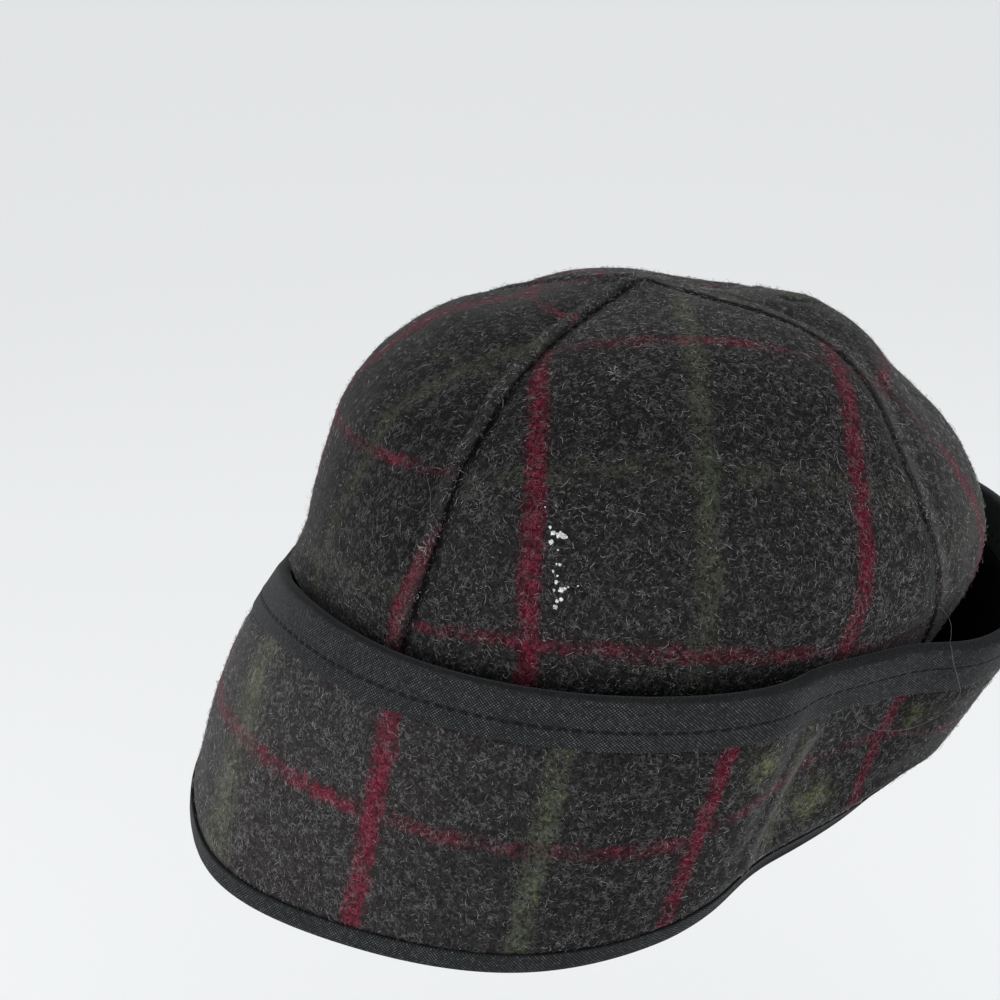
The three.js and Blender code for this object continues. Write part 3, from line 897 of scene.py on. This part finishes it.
fleck_form = bmesh.new()
fleck_draw = np.random.default_rng(31)
fleck_places, fleck_normals = snap([tree_of(panels["back"])], FLECKS[:, :3], 0.05 * MM)
for place, normal, radius in zip(fleck_places, fleck_normals, FLECKS[:, 3]):
    made = bmesh.ops.create_icosphere(fleck_form, subdivisions=2, radius=1.0)
    for vert in made["verts"]:
        vert.co *= fleck_draw.uniform(0.55, 1.30)
    turn = Vector(normal).to_track_quat("Z", "Y").to_matrix().to_4x4()
    size = Matrix.Diagonal((radius * fleck_draw.uniform(0.8, 1.15), radius, radius * 0.45, 1.0))
    bmesh.ops.transform(fleck_form, verts=made["verts"], matrix=Matrix.Translation(place) @ turn @ size)
flecks = piece_from(fleck_form, "paint_flecks", dried_paint)

# Nap, the loose fibres that stand on the wool

# How high each knot of a fibre stands, as a share of its rise
KNOT_LIFT = (-0.3, 0.8, 1.0, 0.8)
# Length and rise of the fibres: shape, scale, least and most of a gamma draw, in millimetres
NAP_LENGTH = (3.5, 0.41, 0.45, 4.0)
NAP_RISE = (1.6, 0.15, 0.02, 1.5)
NAP_THICK = (0.045, 0.105)
# The share of fibres that are this many times as long
LONG_SHARE, LONG_TIMES = 0.03, 2.0
# Shares of light, pale, mid and dark fibres
NAP_SHARES = (0.26, 0.26, 0.24, 0.24)
# Where fibres take a line's colour, in repeats from its middle, and how many of them do
RED_WARP, RED_WEFT, GREEN_FROM = (0.030, 0.006), 0.022, 0.462
WEFT_SHARE, GREEN_SHARE, CRIMSON_BELOW, PINK_BELOW = 0.22, 0.32, 0.36, 0.70
BAND_HAIRS, BAND_SEED = 15000, 11
RING = np.radians((90.0, 210.0, 330.0))
HAIR_COLOURS = {
    "light_hair": (0.38, 0.375, 0.37),
    "pale_hair": (0.145, 0.145, 0.148),
    "mid_hair": (0.055, 0.055, 0.057),
    "dark_hair": (0.010, 0.010, 0.011),
    "crimson_hair": (0.27, 0.020, 0.055),
    "pink_hair": (0.33, 0.150, 0.175),
    "olive_hair": (0.150, 0.165, 0.115),
}
LIGHT, PALE, MID, DARK, CRIMSON, PINK, OLIVE = range(len(HAIR_COLOURS))
hairs = [plain_material(name, colour, 0.85, 0.04) for name, colour in HAIR_COLOURS.items()]


def strands(name, groups):
    """One mesh of thin three-sided strands with pointed ends; each group is lines of knots, uprights,
    thickness and colour."""
    all_points, all_quads, all_tips, quad_colours, tip_colours = [], [], [], [], []
    base = 0
    for lines, uprights, thick, colour in groups:
        count, knots = lines.shape[:2]
        heading = unit(np.gradient(lines, axis=1))
        upright = np.broadcast_to(uprights[:, None], lines.shape)
        sideways = unit(np.cross(heading, upright))
        upright = np.cross(sideways, heading)
        inner = slice(1, knots - 1)
        rings = (lines[:, inner, None] + thick[:, None, None, None] / 2
                 * (np.cos(RING)[:, None] * sideways[:, inner, None]
                    + np.sin(RING)[:, None] * upright[:, inner, None]))
        each = 3 * (knots - 2) + 2
        three, after = np.arange(3), (np.arange(3) + 1) % 3
        last_ring = 1 + 3 * (knots - 3)
        quads = [np.column_stack((at + three, at + 3 + three, at + 3 + after, at + after))
                 for at in range(1, last_ring, 3)]
        tips = (np.column_stack((np.zeros(3, int), 1 + three, 1 + after)),
                np.column_stack((last_ring + three, np.full(3, each - 1), last_ring + after)))
        offsets = (base + np.arange(count) * each)[:, None, None]
        whole = np.concatenate((lines[:, :1], rings.reshape(count, -1, 3), lines[:, -1:]), axis=1)
        all_points.append(whole.reshape(-1, 3))
        all_quads.append((offsets + np.vstack(quads)).reshape(-1, 4))
        all_tips.append((offsets + np.vstack(tips)).reshape(-1, 3))
        quad_colours.append(np.repeat(colour, len(quads) * 3))
        tip_colours.append(np.repeat(colour, 6))
        base += count * each
    mesh = bpy.data.meshes.new(name)
    mesh.from_pydata(np.vstack(all_points), [], np.vstack(all_quads).tolist() + np.vstack(all_tips).tolist())
    for hair in hairs:
        mesh.materials.append(hair)
    mesh.polygons.foreach_set("material_index", np.concatenate(quad_colours + tip_colours).astype(np.int32))
    return add_piece(name, mesh)


def curls(roots, uprights, length, rise, draw):
    """Lines of curly fibres that start at the given roots and lie close to the cloth."""
    count = len(roots)
    angle = draw.uniform(0, math.tau, count)
    turning = draw.normal(0, 0.8, count)
    first = unit(np.cross(uprights, draw.normal(size=(count, 3))))
    second = np.cross(uprights, first)
    lines = np.empty((count, len(KNOT_LIFT), 3))
    at = roots.copy()
    for knot, lift in enumerate(KNOT_LIFT):
        lines[:, knot] = at + uprights * (rise * lift)[:, None]
        way = np.cos(angle)[:, None] * first + np.sin(angle)[:, None] * second
        at = at + way * (length / (len(KNOT_LIFT) - 1))[:, None]
        angle = angle + turning + draw.normal(0, 0.4, count)
    return lines


def gamma_draw(draw, count, shape, scale, least, most):
    return draw.gamma(shape, scale, count).clip(least, most) * MM


def lay_nap(cloth, name, count, seed, plaid, outward, fuzz, wear_and_painted_light):
    """Scatters curly fibres over a cloth's outer face, more where it is fuzzy, and paler or darker where the
    wool is drawn so for wear and painted light and shade.
    """
    draw = np.random.default_rng(seed)
    mesh = cloth.data
    mesh.calc_loop_triangles()
    corners = read(mesh.loop_triangles, "vertices", 3, np.int32)
    points, normals = points_of(cloth), normals_of(cloth)
    middle = points[corners].mean(axis=1)
    facing_out = (unit(normals[corners].mean(axis=1)) * outward(middle)).sum(axis=1) > 0.05
    corners, middle = corners[facing_out], middle[facing_out]
    edges = points[corners[:, 1:]] - points[corners[:, :1]]
    area = np.linalg.norm(np.cross(edges[:, 0], edges[:, 1]), axis=1)
    clumps = np.clip(1 + 0.8 * undulation(middle, 9 * MM, seed + 50), 0.2, 2.4)
    weight = area * fuzz[corners].mean(axis=1) * clumps
    picked = corners[draw.choice(len(corners), count, p=weight / weight.sum())]
    share = draw.dirichlet((1, 1, 1), count)[:, :, None]
    roots = (points[picked] * share).sum(axis=1)
    uprights = unit((normals[picked] * share).sum(axis=1))
    length = gamma_draw(draw, count, *NAP_LENGTH)
    length[draw.random(count) < LONG_SHARE] *= LONG_TIMES
    rise = gamma_draw(draw, count, *NAP_RISE)
    lines = curls(roots, uprights, length, rise, draw)
    thick = draw.uniform(*NAP_THICK, count) * MM
    colour = draw.choice((LIGHT, PALE, MID, DARK), count, p=NAP_SHARES)
    paler = (wear_and_painted_light[picked] * share[:, :, 0]).sum(axis=1)
    colour = np.clip(colour - (draw.random(count) < np.abs(paler)) * np.sign(paler), LIGHT, DARK)
    to_line = np.abs(plaid(roots) - np.round(plaid(roots)))
    chance = draw.random(count)
    in_weft = (to_line[:, 1] < RED_WEFT) & (draw.random(count) < WEFT_SHARE)
    in_red = (to_line[:, 0] < draw.normal(*RED_WARP, count)) | in_weft
    in_green = (to_line[:, 0] > GREEN_FROM) & (chance < GREEN_SHARE)
    colour[in_green] = OLIVE
    colour[in_red & (chance < CRIMSON_BELOW)] = CRIMSON
    colour[in_red & (chance > CRIMSON_BELOW) & (chance < PINK_BELOW)] = PINK
    return strands(name, [(lines, uprights, thick, colour)])


for seed, (side, panel) in enumerate(panels.items()):
    lay_nap(panel, side + "_panel_nap", PANEL_LOOKS[side]["hairs"], seed,
                         panel_plaid(PANELS[side]), from_heart, panel_fuzz[side], panel_wear_and_painted_light[side])
band_fuzz = ((down > TAPE_ENDS) & (down < TAPE_STARTS)) * (1 + 1.2 * (1 - ease(down, TAPE_ENDS, 0.2)))
lay_nap(earband, "earband_nap", BAND_HAIRS, BAND_SEED, band_plaid, from_axis,
                          band_fuzz, band_wear_and_painted_light)

# Lint and loose hairs

lint_draw = np.random.default_rng(41)
lint_groups = []
for side, tufts in LINT.items():
    places, uprights = snap([tree_of(panels[side])], np.array(tufts) * MM, 0.15 * MM)
    places, uprights = np.repeat(places, LINT_STRANDS, axis=0), np.repeat(uprights, LINT_STRANDS, axis=0)
    places = places + lint_draw.normal(0, LINT_SPREAD, places.shape)
    count = len(places)
    length = lint_draw.uniform(1.2, 2.8, count) * MM
    rise = lint_draw.uniform(0.1, 0.9, count) * MM
    lines = curls(places, uprights, length, rise, lint_draw)
    tints = (PINK if side == "right" else LIGHT, LIGHT, PALE)
    lint_groups.append((lines, uprights, np.full(count, LINT_THICK), lint_draw.choice(tints, count)))
for hair_line, trees in ((SIDE_HAIR, [panels["left"]]), (BAND_HAIR, [panels["right"], top_tape, earband])):
    line, uprights = snap([tree_of(piece) for piece in trees], smooth_line(hair_line, 5), 0.9 * MM)
    lint_groups.append((line[None], uprights[:1], np.array((HAIR_THICK,)), np.array((PALE,))))
lint = strands("lint_and_hairs", lint_groups)

# Studio

camera_data = bpy.data.cameras.new("camera")
camera_data.lens = CAMERA_LENS
camera_data.sensor_width = CAMERA_SENSOR
camera = bpy.data.objects.new("camera", camera_data)
camera.location = CAMERA_PLACE
camera.rotation_euler = (CAMERA_TILT, 0.0, CAMERA_TURN)
scene.collection.objects.link(camera)
scene.camera = camera
scene.view_settings.view_transform = "Standard"

floor_mesh = bpy.data.meshes.new("floor")
floor_corners = [(x * FLOOR_HALF, y * FLOOR_HALF, FLOOR_HEIGHT)
                 for x, y in ((-1, -1), (1, -1), (1, 1), (-1, 1))]
floor_mesh.from_pydata(floor_corners, [], [(0, 1, 2, 3)])
floor = bpy.data.objects.new("floor", floor_mesh)
scene.collection.objects.link(floor)
floor_mesh.materials.append(plain_material("pale_floor", FLOOR_COLOUR, FLOOR_ROUGHNESS, FLOOR_SHINE))

for light_name, (place, aim, width, height, watts) in LIGHTS.items():
    softbox = bpy.data.lights.new(light_name, "AREA")
    softbox.shape = "RECTANGLE"
    softbox.size = width
    softbox.size_y = height
    softbox.energy = watts
    lamp = bpy.data.objects.new(light_name, softbox)
    lamp.location = place
    lamp.rotation_euler = (Vector(aim) - Vector(place)).to_track_quat("-Z", "Y").to_euler()
    scene.collection.objects.link(lamp)

world = bpy.data.worlds.new("studio")
world.use_nodes = True
sky = world.node_tree.nodes["Background"].inputs
sky["Color"].default_value = SKY_COLOUR
sky["Strength"].default_value = SKY_STRENGTH
scene.world = world
